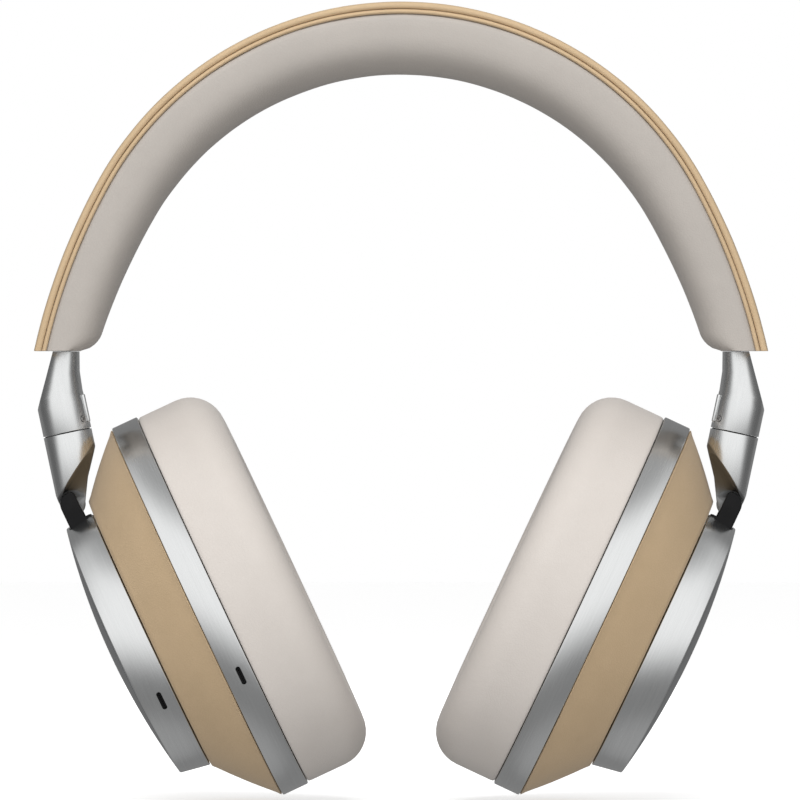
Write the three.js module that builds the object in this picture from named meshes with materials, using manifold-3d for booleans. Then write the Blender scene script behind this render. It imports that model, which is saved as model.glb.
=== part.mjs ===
// Over ear wireless headphones, in millimetres, +Z up.
// The origin is the middle of the headband's underside at the crown. The wearer faces -Y, so -X is the
// wearer's right. Both sides are built as the right one, and the left is its mirror image.
import * as THREE from 'three';
import { mergeVertices } from 'three/addons/utils/BufferGeometryUtils.js';
import Module from 'manifold-3d';

const wasm = await Module();
wasm.setup();

// Driving dimensions --------------------------------------------------------------------------------
const gap = 0.3; // between pieces that touch
const fit = 0.3; // around a piece that slides or turns in another

const band = {
  crownRadius: 86.5, // outer surface over the head
  crownAngle: 61, // degrees from the crown to where the sides begin
  sideRadius: 158.5, // outer surface of the straighter sides
  depth: 18.3, // outer surface to underside, at the crown
  endDepth: 15.2, // the same at the ends
  firm: 7, // the part of that depth which does not thin
  drop: 69, // the crown's underside down to the cut ends
  halfWidth: 17.5, // front to back, at the crown
  endHalfWidth: 14,
  cover: 2.1, // leather covered outer strip
  piping: 0.9,
  spring: 0.8, // steel band
  springHalfWidth: 6,
  cable: 1.8, // link cable's diameter
};
const slide = {
  inset: 8.17, // the rail's middle inwards of the headband's outer surface, at the cut end
  lean: 6.5, // degrees that the rail leans to the crown, past the band's own end
  travel: 28,
  engaged: 11, // rail left in the guide at full reach
  railThickness: 2,
  railWidth: 10,
  railInArm: 6,
  guideThickness: 5,
  guideWidth: 14.6,
  guideWall: 1.5, // at the closed top
  detents: 8,
};
const arm = {
  jointDrop: 20.4, // headband's end down to the middle of the parting line
  jointInset: 0.35, // that middle inwards of where the rail enters the headband
  tilt: 12, // degrees that the swivel axis leans towards the head
  halfThickness: 6.1, // across the head
  halfWidth: 7, // front to back
  parting: 0.5, // gap between arm and yoke
  neckTop: 21.5,
  yokeDrop: 17.75, // joint down to the pivot that the cup tilts on
  yokeOffset: 2.35, // how far outwards of the swivel axis that pivot is
};
const pin = { radius: 2.2, intoArm: 9, intoYoke: 7.5, flange: 3.4, flangeHeight: 0.9 };
const cup = {
  tilt: 25.1, // degrees that the cup leans
  halfLength: 50.5,
  ratio: 0.8, // width over length
  wall: 2,
  ringDepth: 7,
  bodyDepth: 13, // inner ring to outer ring
  flare: 14.25, // how much longer the inner ring is than the body's outer end, at each end
  outerStep: 1.35, // the outer ring's step in from the body
  outerDepth: 8,
  outerDrop: 1, // the outer ring sits this much low
  outerTaper: 1.3,
  dome: 2.5,
  cushion: 19.3,
  earHalfLength: 31,
};
const pivot = {
  behind: 3.75, // past the body's outer end
  above: 1.3, // over the top of the body's outer end
  ear: 3.1, // radius of the ears
  slot: 2.8, // half the slot between them
  halfWidth: 5.6,
  pin: 1.2,
};
const tongue = { half: 2.5, scoop: 6, clear: 3.5 };
const driver = { radius: 20, magnet: 12, thickness: 9 };
const button = { width: 3.4, length: 9, proud: 0.5, travel: 0.6, flange: 0.6, pitch: 13.5 };
const slot = { length: 5, width: 1.3 };
const port = { length: 9.4, width: 3.6 };

const rad = THREE.MathUtils.degToRad;
const around = 40; // facets round a cup's shells
const fine = 20; // facets round small pins

// Solids ---------------------------------------------------------------------------------------------
function solid(geometry) {
  const bare = geometry.clone();
  for (const name of Object.keys(bare.attributes)) if (name !== 'position') bare.deleteAttribute(name);
  const merged = mergeVertices(bare, 1e-4);
  const made = new wasm.Manifold(
    new wasm.Mesh({
      numProp: 3,
      vertProperties: merged.attributes.position.array,
      triVerts: new Uint32Array(merged.index.array),
    }),
  );
  if (made.isEmpty()) throw new Error('an empty solid');
  return made;
}

function geometryOf(made) {
  const mesh = made.getMesh();
  const places = new Float32Array(mesh.numVert * 3);
  for (let i = 0; i < mesh.numVert; i++) {
    places.set(mesh.vertProperties.subarray(i * mesh.numProp, i * mesh.numProp + 3), i * 3);
  }
  return new THREE.BufferGeometry()
    .setAttribute('position', new THREE.BufferAttribute(places, 3))
    .setIndex(new THREE.BufferAttribute(new Uint32Array(mesh.triVerts), 1));
}

function cut(geometry, ...cutters) {
  return geometryOf(cutters.reduce((body, cutter) => body.subtract(solid(cutter)), solid(geometry)));
}

function join(geometry, ...others) {
  return geometryOf(others.reduce((body, other) => body.add(solid(other)), solid(geometry)));
}

function common(geometry, other) {
  return geometryOf(solid(geometry).intersect(solid(other)));
}

// A box between two corners.
function block(x0, x1, y0, y1, z0, z1) {
  return new THREE.BoxGeometry(x1 - x0, y1 - y0, z1 - z0).translate(
    (x0 + x1) / 2,
    (y0 + y1) / 2,
    (z0 + z1) / 2,
  );
}

// A round bar along an axis, from low to high on it.
function bar(radius, low, high, axis = 'z', sides = fine) {
  const made = new THREE.CylinderGeometry(radius, radius, high - low, sides).translate(0, (low + high) / 2, 0);
  if (axis === 'z') made.rotateX(Math.PI / 2);
  if (axis === 'x') made.rotateZ(-Math.PI / 2);
  return made;
}

// A lathe round +X. The profile lists [radius, place on the axis], and closes on itself or on the axis.
function turned(profile, sides = around) {
  const points = profile.map(([r, s]) => new THREE.Vector2(r, s));
  if (points[0].x > 0) points.push(points[0].clone());
  if (THREE.ShapeUtils.area(points) < 0) points.reverse();
  return new THREE.LatheGeometry(points, sides).rotateZ(-Math.PI / 2);
}

// The same with the cup's oval outline: long in Z, narrower in Y.
function oval(profile, drop = 0, sides = around) {
  return turned(profile, sides).scale(1, cup.ratio, 1).translate(0, 0, -drop);
}

// Points on an arc of a profile, from one angle to another, in degrees.
function arc(r, s, radius, from, to, steps) {
  return Array.from({ length: steps + 1 }, (_, i) => {
    const angle = rad(from + ((to - from) * i) / steps);
    return [r + radius * Math.cos(angle), s + radius * Math.sin(angle)];
  });
}

// An outline in X and Z, as thick as 2 * half in Y.
function plate(points, half) {
  const outline = new THREE.Shape(points.map(([x, z]) => new THREE.Vector2(x, z)));
  return new THREE.ExtrudeGeometry(outline, { depth: 2 * half, bevelEnabled: false, curveSegments: 6 })
    .translate(0, 0, -half)
    .rotateX(Math.PI / 2);
}

// A capsule outline, long in Z and wide in Y, thick along X from low to high.
function capsule(length, width, low, high) {
  const straight = (length - width) / 2;
  const outline = new THREE.Shape()
    .moveTo(-width / 2, -straight)
    .absarc(0, -straight, width / 2, Math.PI, 2 * Math.PI, false)
    .absarc(0, straight, width / 2, 0, Math.PI, false);
  return new THREE.ExtrudeGeometry(outline, { depth: high - low, bevelEnabled: false, curveSegments: 5 })
    .rotateX(Math.PI / 2)
    .rotateZ(Math.PI / 2)
    .translate(low, 0, 0);
}

// The headband ---------------------------------------------------------------------------------------
const crownCentre = new THREE.Vector2(0, band.depth - band.crownRadius);
const turnArc = rad(band.crownAngle);
const crownReach = band.crownRadius * turnArc;
const sideCentre = crownCentre
  .clone()
  .addScaledVector(
    new THREE.Vector2(Math.sin(turnArc), Math.cos(turnArc)),
    band.crownRadius - band.sideRadius,
  );
const endArc = Math.acos((-band.drop - sideCentre.y) / band.sideRadius);
const endReach = crownReach + band.sideRadius * (endArc - turnArc);

// Where a point lies that is so far along the outer surface from the crown, and so deep under it.
function onBand(reach, depth) {
  const far = Math.abs(reach);
  const side = far > crownReach;
  const angle = side ? turnArc + (far - crownReach) / band.sideRadius : far / band.crownRadius;
  const centre = side ? sideCentre : crownCentre;
  const radius = (side ? band.sideRadius : band.crownRadius) - depth;
  return [Math.sign(reach) * (centre.x + radius * Math.sin(angle)), centre.y + radius * Math.cos(angle)];
}

// The band narrows to its ends, and the soft part of its depth thins.
function taperAt(reach, across, depth) {
  const share = Math.min(1, Math.abs(reach) / endReach) ** 2;
  const narrowed = across * THREE.MathUtils.lerp(1, band.endHalfWidth / band.halfWidth, share);
  const left = (band.endDepth - band.firm) / (band.depth - band.firm);
  const soft = Math.max(0, depth - band.firm) * THREE.MathUtils.lerp(1, left, share);
  return [narrowed, Math.min(depth, band.firm) + soft];
}

// A section of [across, depth] points, swept along the band.
function swept(section, reach, steps, tapers = true) {
  const outline = new THREE.Shape(section.map(([y, d]) => new THREE.Vector2(y, d)));
  const made = new THREE.ExtrudeGeometry(outline, { depth: 2 * reach, steps, bevelEnabled: false });
  const place = made.getAttribute('position');
  for (let i = 0; i < place.count; i++) {
    const along = place.getZ(i) - reach;
    const point = [place.getX(i), place.getY(i)];
    const [across, depth] = tapers ? taperAt(along, ...point) : point;
    const [x, z] = onBand(along || 1e-9, depth);
    place.setXYZ(i, x, -across, z);
  }
  return made;
}

const sweepReach = endReach + 8; // past the ends, to be trimmed level
const belowEnds = block(-150, 150, -40, 40, -band.drop - 60, -band.drop);

function coverSection() {
  const w = band.halfWidth;
  return [[-w, 0.9], [-w + 1.2, 0.2], [0, 0], [w - 1.2, 0.2], [w, 0.9], [w, band.cover], [-w, band.cover]];
}

const pipingDepth = band.cover + gap;
function pipingSection(side) {
  const outer = side * (band.halfWidth - 0.1);
  const inner = side * (band.halfWidth - 0.1 - 1.6);
  const points = [[outer, pipingDepth], [outer, pipingDepth + band.piping]];
  points.push([inner, pipingDepth + band.piping], [inner, pipingDepth]);
  return side > 0 ? points : points.reverse();
}

const springDepth = band.cover + gap;
const padTop = band.cover + gap;
function springSection() {
  const w = band.springHalfWidth;
  return [[-w, springDepth], [w, springDepth], [w, springDepth + band.spring], [-w, springDepth + band.spring]];
}

// The pad is flat where it meets the cover, with grooves for piping, spring and cable, and crowned below.
function padSection() {
  const w = band.halfWidth;
  const groove = band.springHalfWidth + gap;
  const bed = springDepth + band.spring + gap;
  const cable = band.cable / 2 + gap;
  const cableBed = bed + band.cable + 2 * gap;
  const under = padTop + band.piping + gap;
  const crowned = Array.from({ length: 11 }, (_, i) => {
    const angle = Math.PI * (i / 10);
    const across = Math.sign(Math.cos(angle)) * Math.abs(Math.cos(angle)) ** 0.75;
    return [w * across, band.firm + (band.depth - band.firm) * Math.sin(angle) ** 0.8];
  });
  return [
    [-w, under], [-w + 2, under], [-w + 2, padTop], [-groove, padTop], [-groove, bed], [-cable, bed],
    [-cable, cableBed], [cable, cableBed], [cable, bed], [groove, bed],
    [groove, padTop], [w - 2, padTop], [w - 2, under], [w, under], ...crowned,
  ];
}

function cableSection() {
  const middle = springDepth + band.spring + 2 * gap + band.cable / 2;
  return arc(0, middle, band.cable / 2, 0, 315, 7);
}

// The slide frame has its origin where the rail enters and +Z along the rail, towards the crown.
const slideFrame = new THREE.Group();
slideFrame.position.set(slide.inset - onBand(endReach, 0)[0], 0, -band.drop);
slideFrame.rotation.y = Math.PI / 2 - endArc + rad(slide.lean);
slideFrame.updateMatrixWorld(true);

const railTop = slide.travel + slide.engaged;
const guideTop = railTop + 1 + slide.guideWall;
const railHalf = slide.railThickness / 2;

function guideBlock(extra) {
  const t = slide.guideThickness / 2 + extra;
  const w = slide.guideWidth / 2 + extra;
  return block(-t, t, -w, w, -5, guideTop + extra);
}

function mirrored(geometry) {
  return [geometry, geometryOf(solid(geometry).mirror([1, 0, 0]))];
}

const cover = cut(swept(coverSection(), sweepReach, 44), belowEnds);
const pipings = [-1, 1].map((side) => cut(swept(pipingSection(side), sweepReach, 40), belowEnds));
const spring = swept(springSection(), endReach - 6, 36);
const pocket = guideBlock(gap).applyMatrix4(slideFrame.matrixWorld);
const pad = cut(swept(padSection(), sweepReach, 40), belowEnds, ...mirrored(pocket));
const linkCable = swept(cableSection(), endReach - guideTop - 9, 36, false);

// Slide guide, detent spring and rail, in the slide frame -----------------------------------------------
const leaf = { low: 8, length: 13, rise: 1.1, thickness: 0.35, width: 5 };

function slideGuide() {
  const bore = block(
    -railHalf - fit, railHalf + fit, -slide.railWidth / 2 - fit, slide.railWidth / 2 + fit,
    -5, railTop + 1,
  );
  const leafPocket = block(
    railHalf, railHalf + fit + leaf.rise + 0.2, -leaf.width / 2 - gap, leaf.width / 2 + gap,
    leaf.low - gap, leaf.low + leaf.length + gap,
  );
  const body = cut(guideBlock(0), bore, leafPocket).applyMatrix4(slideFrame.matrixWorld);
  const level = block(-150, 150, -40, 40, -band.drop - 60, -band.drop + 0.4);
  return cut(body, level).applyMatrix4(slideFrame.matrixWorld.clone().invert());
}

function detentSpring() {
  const steps = 8;
  const bow = (i) => 4 * (i / steps) * (1 - i / steps) * (leaf.rise - leaf.thickness - 0.2);
  const back = railHalf + fit + leaf.rise;
  const outer = Array.from({ length: steps + 1 }, (_, i) => [back - bow(i), leaf.low + (leaf.length * i) / steps]);
  const inner = outer.map(([x, z]) => [x - leaf.thickness, z]).reverse();
  return plate([...outer, ...inner], leaf.width / 2);
}

function slideRail() {
  const body = block(-railHalf, railHalf, -slide.railWidth / 2, slide.railWidth / 2, -slide.railInArm, railTop);
  const step = slide.travel / slide.detents;
  const notches = Array.from({ length: slide.detents }, (_, i) =>
    bar(0.7, -railHalf - 1, railHalf + 1, 'x', 8).translate(0, slide.railWidth / 2, 3 + step * i),
  );
  return cut(body, ...notches);
}

// Arm and yoke, in the swivel frame: origin in the parting line, +Z up the swivel axis, +X to the head ----
const armFrame = new THREE.Group();
armFrame.position.copy(slideFrame.position).add(new THREE.Vector3(arm.jointInset, 0, -arm.jointDrop));
armFrame.rotation.y = -rad(arm.tilt);
armFrame.updateMatrixWorld(true);
const toArm = armFrame.matrixWorld.clone().invert();
const tiltInArm = new THREE.Vector3(-arm.yokeOffset, 0, -arm.yokeDrop);

// The cup's frame: +X to the head, +Z up its long axis, origin where the cushion meets the inner ring.
const L = cup.halfLength;
const bodyFar = -cup.ringDepth - cup.bodyDepth;
const bodyEnd = L - cup.flare; // half length of the body's outer end
const outerHalfLength = bodyEnd - cup.outerStep;
const tiltInCup = new THREE.Vector3(bodyFar - pivot.behind, 0, bodyEnd + pivot.above);
const cupFrame = new THREE.Group();
cupFrame.rotation.y = -rad(cup.tilt);
cupFrame.position
  .copy(tiltInArm)
  .applyMatrix4(armFrame.matrixWorld)
  .sub(tiltInCup.clone().applyEuler(cupFrame.rotation));
cupFrame.updateMatrixWorld(true);

// A stack of rounded sections. Each level is [z, left, right, half width].
function stack(levels, sides = 24, squareness = 0.85) {
  const made = new THREE.CylinderGeometry(1, 1, levels.length - 1, sides, levels.length - 1);
  const place = made.getAttribute('position');
  const bulge = (value) => Math.sign(value) * Math.abs(value) ** squareness;
  for (let i = 0; i < place.count; i++) {
    const level = levels[Math.round(place.getY(i) + (levels.length - 1) / 2)];
    const [z, left, right, half] = level;
    const across = bulge(place.getX(i));
    place.setXYZ(i, (left + right) / 2 + (across * (right - left)) / 2, half * bulge(-place.getZ(i)), z);
  }
  return made;
}

const neckEnd = block(-150, 150, -40, 40, -band.drop - gap, 0);
const hingeCover = { low: 1.6, high: 8.6, half: 3.6, thickness: 0.7 };
const setScrew = { radius: 0.8, length: 3, place: new THREE.Vector3(4.7, -5.1, 2.6) };

function setScrewAt(extra) {
  const inward = new THREE.Vector3(-setScrew.place.x / arm.halfThickness ** 2, 1 / 9.6, 0).normalize();
  const turn = new THREE.Quaternion().setFromUnitVectors(new THREE.Vector3(0, 0, 1), inward);
  return bar(setScrew.radius + extra, -0.2 - extra, setScrew.length + extra, 'z', 12)
    .applyQuaternion(turn)
    .translate(setScrew.place.x, setScrew.place.y, setScrew.place.z);
}

function coverPlate(extra) {
  const { low, high, half, thickness } = hingeCover;
  return block(
    arm.halfThickness - thickness - extra, arm.halfThickness + 0.25 + (extra ? 3 : 0),
    -half - extra, half + extra, low - extra, high + extra,
  );
}

function armCasting() {
  const t = arm.halfThickness;
  const w = arm.halfWidth;
  const body = stack([
    [arm.parting / 2, -t, t, w], [6.9, -t, t, w], [9.6, -4.8, 5.9, w - 0.3],
    [14.4, -2.1, 6.2, w - 0.9], [arm.neckTop, 1.2, 7.6, w - 1.2], [arm.neckTop + 4, 2.8, 9.2, w - 1.2],
  ]);
  const toSlide = toArm.clone().multiply(slideFrame.matrixWorld);
  const railPocket = block(
    -railHalf - gap, railHalf + gap, -slide.railWidth / 2 - gap, slide.railWidth / 2 + gap,
    -slide.railInArm - gap, 6,
  ).applyMatrix4(toSlide);
  const bore = bar(pin.radius + fit, -1, pin.intoArm + 0.5);
  return cut(body, neckEnd.clone().applyMatrix4(toArm), railPocket, bore, coverPlate(gap), setScrewAt(0.2));
}

function yokeOutline() {
  const t = arm.halfThickness;
  const { x, z } = tiltInArm;
  const round = arc(x, z, pivot.ear, 180, 360, 10);
  return [
    [t, -arm.parting / 2], [-t, -arm.parting / 2], [-t, z + 3], ...round, [x + 5, -11.9], [t, -4.6],
  ];
}

// The tongue is left standing where both sides are scooped away under a slanting line.
const slant = { x: 4.9, z: -4.4, angle: 45 };
function scoop(side) {
  const y = side * (tongue.half + tongue.scoop);
  const round = bar(tongue.scoop, -20, 20, 'x', 28).translate(0, y, -tongue.scoop);
  const side0 = Math.min(y, side * 20);
  const side1 = Math.max(y, side * 20);
  const outside = block(-20, 20, side0, side1, -30, 0);
  const inner = Math.min(side * tongue.half, side * 20);
  const outer = Math.max(side * tongue.half, side * 20);
  const below = block(-20, 20, inner, outer, -30, -tongue.scoop);
  return join(round, outside, below).rotateY(-rad(slant.angle)).translate(slant.x, 0, slant.z);
}

function yokeCasting() {
  const t = arm.halfThickness;
  const w = arm.halfWidth;
  const { x, z } = tiltInArm;
  const low = z - pivot.ear - 1;
  const body = stack([[-arm.parting / 2, -t, t, w], [low, -t, t, w]].reverse());
  const shape = common(body, plate(yokeOutline(), 10));
  const earRoom = [-1, 1].map((side) =>
    bar(tongue.clear, Math.min(side * tongue.half, side * 10), Math.max(side * tongue.half, side * 10), 'y', 24)
      .translate(x, 0, z));
  const washerSeat = bar(4.6, -1.35, 1, 'z', 24);
  const bore = bar(pin.radius + gap, -pin.intoYoke - gap, 1);
  const cross = bar(pivot.pin + gap, -10, 10, 'y', 16).translate(x, 0, z);
  return cut(shape, scoop(-1), scoop(1), ...earRoom, washerSeat, bore, cross);
}

const armPieces = {
  swivel_pin: () => bar(pin.radius, -pin.intoYoke, pin.intoArm),
  friction_washer: () =>
    cut(bar(4.3, -1.05, -0.05, 'z', 24), bar(pin.radius + gap, -2, 2)),
  tilt_pin: () => bar(pivot.pin, -pivot.halfWidth, pivot.halfWidth, 'y', 16).translate(tiltInArm.x, 0, tiltInArm.z),
};

// The cup ----------------------------------------------------------------------------------------------
const bodyNear = -cup.ringDepth - gap;
const outerNear = bodyFar - gap;
const outerFar = outerNear - cup.outerDepth;
const floor = 1.8; // thickness of the body's end wall
const bracket = { near: outerNear - 0.4, far: outerNear - 6.5, foot: tiltInCup.z - 10.75 };
const screw = {
  radius: 1.2, head: 2, height: tiltInCup.z - 7.25,
  seat: outerNear - 4.3, top: outerNear - 5.4, tip: bodyFar + 4,
};

// A frame on the oval at an angle from the bottom, towards the rear: +X out of the wall, +Z along it.
function onRim(shape, angle, depth, halfLength = L, drop = 0) {
  const a = rad(angle);
  const place = new THREE.Vector3(depth, cup.ratio * halfLength * Math.sin(a), -halfLength * Math.cos(a) - drop);
  const out = new THREE.Vector3(0, Math.sin(a) / cup.ratio, -Math.cos(a)).normalize();
  const depthAxis = new THREE.Vector3(-1, 0, 0);
  const along = new THREE.Vector3().crossVectors(out, depthAxis);
  const frame = new THREE.Matrix4().makeBasis(out, depthAxis, along).setPosition(place);
  return shape.applyMatrix4(frame);
}

const buttonDepth = -4.4;
const flangeSeat = -cup.wall - 0.5; // where a button's flange lies, under the wall
const micDepth = -3.2;
const outerMic = { depth: outerNear - 3.6, angle: -64 };
const innerMic = { depth: micDepth, angle: -68.5 };
const portAngle = 38;
const buttonAngle = (i) => 90 + (i * button.pitch * 180) / Math.PI / (cup.ratio * L * 1.22);

function buttonAt(i, extra, through) {
  const shape = capsule(
    button.length + 2 * extra, button.width + 2 * extra,
    through ? -cup.wall - 2 : flangeSeat, through ? 4 : button.proud,
  );
  return onRim(shape, buttonAngle(i), buttonDepth);
}

function buttonSolid(i) {
  const cap = capsule(button.length, button.width, flangeSeat - 0.2, button.proud);
  const flange = capsule(button.length + 1.2, button.width + 1, flangeSeat - button.flange, flangeSeat);
  return onRim(join(cap, flange), buttonAngle(i), buttonDepth);
}

function micAt(mic, extra, halfLength, drop) {
  const shape = capsule(slot.length + 2 * extra, slot.width + 2 * extra, extra ? -5 : -1.8, extra ? 4 : -0.35);
  return onRim(shape, mic.angle, mic.depth, halfLength, drop);
}

function portShell() {
  const outer = capsule(port.length, port.width, -7, -0.6);
  const inner = capsule(port.length - 0.8, port.width - 0.8, -6.4, 1);
  return onRim(cut(outer, inner), portAngle, buttonDepth);
}

function innerRing(cutters) {
  const shell = oval([[L - cup.wall, -cup.ringDepth], [L, -cup.ringDepth], [L, -gap], [L - cup.wall, -gap]]);
  return cutters.length ? cut(shell, ...cutters) : shell;
}

function screwBore() {
  const hole = bar(screw.radius + gap, screw.top - 5, screw.tip + 2, 'x', 12);
  const recess = bar(screw.head + gap, screw.top - 5, screw.seat + gap, 'x', 16);
  return join(hole, recess).translate(0, 0, screw.height);
}

function bodyShell() {
  const w = cup.wall;
  const shell = oval([
    [L - 0.3 - 1.4 * w, bodyNear], [L - 0.3, bodyNear], [bodyEnd, bodyFar],
    [12, bodyFar], [12, bodyFar + floor], [bodyEnd - 1.2 * w, bodyFar + floor],
  ]);
  return cut(shell, screwBore());
}

function bracketSolid() {
  const { ear, slot: half, halfWidth } = pivot;
  const { x: depth, z: height } = tiltInCup;
  const foot = block(bracket.far, bracket.near, -halfWidth, halfWidth, bracket.foot, height - ear - 0.9);
  const ears = [-1, 1].flatMap((side) => {
    const low = Math.min(side * half, side * halfWidth);
    const high = Math.max(side * half, side * halfWidth);
    return [
      bar(ear, low, high, 'y', 20).translate(depth, 0, height),
      block(depth - ear, depth + ear - 0.05, low, high, bracket.foot + 2, height),
    ];
  });
  const cross = bar(pivot.pin + gap, -10, 10, 'y', 16).translate(depth, 0, height);
  return cut(join(foot, ...ears), cross, screwBore());
}

function outerRing(cutters) {
  const { wall, outerTaper: taper } = cup;
  const far = outerHalfLength;
  const shell = oval(
    [[far - wall - taper, outerFar], [far - taper, outerFar], [far, outerNear], [far - wall, outerNear]],
    cup.outerDrop,
  );
  const across = pivot.halfWidth + gap;
  const notch = block(bracket.far - gap, outerNear + 1, -across, across, bracket.foot - 1.5, far + 10);
  return cut(shell, notch, ...cutters);
}

function endPlate() {
  const rim = outerHalfLength - cup.outerTaper;
  const top = outerFar - gap;
  const domed = Array.from({ length: 7 }, (_, i) => {
    const r = (rim * i) / 6;
    return [r, top - 0.3 - (cup.dome - 0.3) * (1 - (r / rim) ** 2)];
  });
  const inner = rim - cup.wall - gap;
  return oval(
    [...domed, [rim, top], [inner, top], [inner, top + 1.4], [inner - 1.4, top + 1.4], [inner - 1.4, top], [0, top - 0.6]],
    cup.outerDrop,
  );
}

function cushionSolid() {
  const { cushion: t, earHalfLength: ear } = cup;
  const base = gap / 2 + 0.1;
  return oval([
    [ear + 1.5, base], [L - 0.6, base],
    ...arc(L - 0.4 - 9, t - 9, 9, 0, 90, 4),
    ...arc(ear + 5, t - 5, 5, 90, 180, 3),
  ]);
}

const baffle = { near: -0.4, thickness: 1.5 };
const baffleFar = baffle.near - baffle.thickness;
const cupPieces = {
  baffle: () =>
    cut(
      oval([[0, baffleFar], [L - cup.wall - gap, baffleFar], [L - cup.wall - gap, baffle.near], [0, baffle.near]]),
      bar(driver.radius + gap, -10, 5, 'x', 28),
    ),
  driver_frame: () =>
    turned([[driver.radius - 2, baffleFar - 0.8], [driver.magnet + gap, baffleFar - 5],
      [driver.magnet + gap, baffleFar - 6], [driver.radius - 1, baffleFar - 2.2],
      [driver.radius, baffleFar - 2.2], [driver.radius, baffle.near], [driver.radius - 2, baffle.near]], 28),
  driver_magnet: () => turned([[0, baffleFar - 8], [driver.magnet, baffleFar - 8], [driver.magnet, baffleFar - 2.6],
    [0, baffleFar - 2.6]], 28),
  driver_diaphragm: () =>
    turned([[0, baffleFar - 0.4], [7, baffleFar - 1.6], [driver.radius - 2 - gap, baffleFar + 0.6],
      [driver.radius - 2 - gap, baffleFar + 1.0], [7, baffleFar - 1.2], [0, baffleFar]], 28),
  ear_grille: () => oval([[0, gap / 2], [cup.earHalfLength + 0.6, gap / 2], [cup.earHalfLength + 0.6, 0.75], [0, 0.75]], 0, 32),
  circuit_board: () => oval([[0, -23.8], [24, -23.8], [24, -22.6], [0, -22.6]], 3, 24),
  bracket_screw: () =>
    join(bar(screw.radius, screw.top, screw.tip, 'x', 12), bar(screw.head, screw.top, screw.seat, 'x', 16))
      .translate(0, 0, screw.height),
};

// Materials and assembly -------------------------------------------------------------------------------
function finish(color, roughness, metalness) {
  return new THREE.MeshStandardMaterial({ color, roughness, metalness });
}
const tanLeather = finish(0xb89a74, 0.6, 0);
const paleLeather = finish(0xd3c8c2, 0.65, 0);
const satinMetal = finish(0xb9bcbd, 0.32, 1);
const steel = finish(0x9a9c9e, 0.35, 1);
const blackPlastic = finish(0x17181a, 0.55, 0);
const greyPlastic = finish(0x5a5c5e, 0.6, 0);
const board = finish(0x1f4a34, 0.5, 0);
const cloth = finish(0x6b6763, 0.9, 0);

const headphones = new THREE.Group();

function add(group, name, geometry, material) {
  const mesh = new THREE.Mesh(geometry, material);
  mesh.name = name;
  group.add(mesh);
  return mesh;
}

function addHeadband() {
  add(headphones, 'headband_cover', cover, tanLeather);
  add(headphones, 'headband_piping_front', pipings[1], tanLeather);
  add(headphones, 'headband_piping_rear', pipings[0], tanLeather);
  add(headphones, 'headband_spring', spring, steel);
  add(headphones, 'headband_pad', pad, paleLeather);
  add(headphones, 'link_cable', linkCable, blackPlastic);
}

function addArm(side, name) {
  const inSlide = slideFrame.clone();
  const inArm = armFrame.clone();
  side.add(inSlide, inArm);
  add(inSlide, `${name}_slide_guide`, slideGuide(), greyPlastic);
  add(inSlide, `${name}_detent_spring`, detentSpring(), steel);
  add(inSlide, `${name}_slide_rail`, slideRail(), steel);
  add(inArm, `${name}_arm`, armCasting(), satinMetal);
  add(inArm, `${name}_hinge_cover`, coverPlate(0), satinMetal);
  add(inArm, `${name}_set_screw`, setScrewAt(0), steel);
  add(inArm, `${name}_yoke`, yokeCasting(), satinMetal);
  add(inArm, `${name}_swivel_pin`, armPieces.swivel_pin(), steel);
  add(inArm, `${name}_friction_washer`, armPieces.friction_washer(), blackPlastic);
  add(inArm, `${name}_tilt_pin`, armPieces.tilt_pin(), steel);
}

function addCup(side, name, controls) {
  const inCup = cupFrame.clone();
  side.add(inCup);
  add(inCup, `${name}_hinge_bracket`, bracketSolid(), blackPlastic);
  add(inCup, `${name}_bracket_screw`, cupPieces.bracket_screw(), steel);
  add(inCup, `${name}_outer_ring`, outerRing(controls.outerCuts), satinMetal);
  add(inCup, `${name}_end_plate`, endPlate(), satinMetal);
  add(inCup, `${name}_cup_body`, bodyShell(), tanLeather);
  add(inCup, `${name}_inner_ring`, innerRing(controls.innerCuts), satinMetal);
  add(inCup, `${name}_baffle`, cupPieces.baffle(), blackPlastic);
  add(inCup, `${name}_driver_frame`, cupPieces.driver_frame(), blackPlastic);
  add(inCup, `${name}_driver_magnet`, cupPieces.driver_magnet(), steel);
  add(inCup, `${name}_driver_diaphragm`, cupPieces.driver_diaphragm(), cloth);
  add(inCup, `${name}_ear_grille`, cupPieces.ear_grille(), cloth);
  add(inCup, `${name}_circuit_board`, cupPieces.circuit_board(), board);
  add(inCup, `${name}_ear_cushion`, cushionSolid(), paleLeather);
  for (const [part, geometry, material] of controls.pieces) add(inCup, part, geometry, material);
}

const volumeSteps = { volume_up_button: 1, multifunction_button: 0, volume_down_button: -1 };
const switchStep = -2.1;
const outerMicCut = micAt(outerMic, 0.2, outerHalfLength - cup.outerTaper / 2, cup.outerDrop);
const rightControls = {
  innerCuts: [
    ...Object.values(volumeSteps).map((i) => buttonAt(i, fit, true)),
    onRim(capsule(port.length + 2 * gap, port.width + 2 * gap, -cup.wall - 2, 4), portAngle, buttonDepth),
    micAt(innerMic, 0.2, L, 0),
  ],
  outerCuts: [outerMicCut],
  pieces: [
    ...Object.entries(volumeSteps).map(([name, i]) => [name, buttonSolid(i), satinMetal]),
    ['charging_socket', portShell(), blackPlastic],
    ['inner_microphone', micAt(innerMic, 0, L, 0), blackPlastic],
    ['outer_microphone', micAt(outerMic, 0, outerHalfLength - cup.outerTaper / 2, cup.outerDrop), blackPlastic],
    ['battery', block(-13.4, -10.4, -13, 13, -34, -22), greyPlastic],
  ],
};
const leftControls = {
  innerCuts: [buttonAt(0, fit, true)],
  outerCuts: [],
  pieces: [['action_button', buttonSolid(0), satinMetal]],
};

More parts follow.
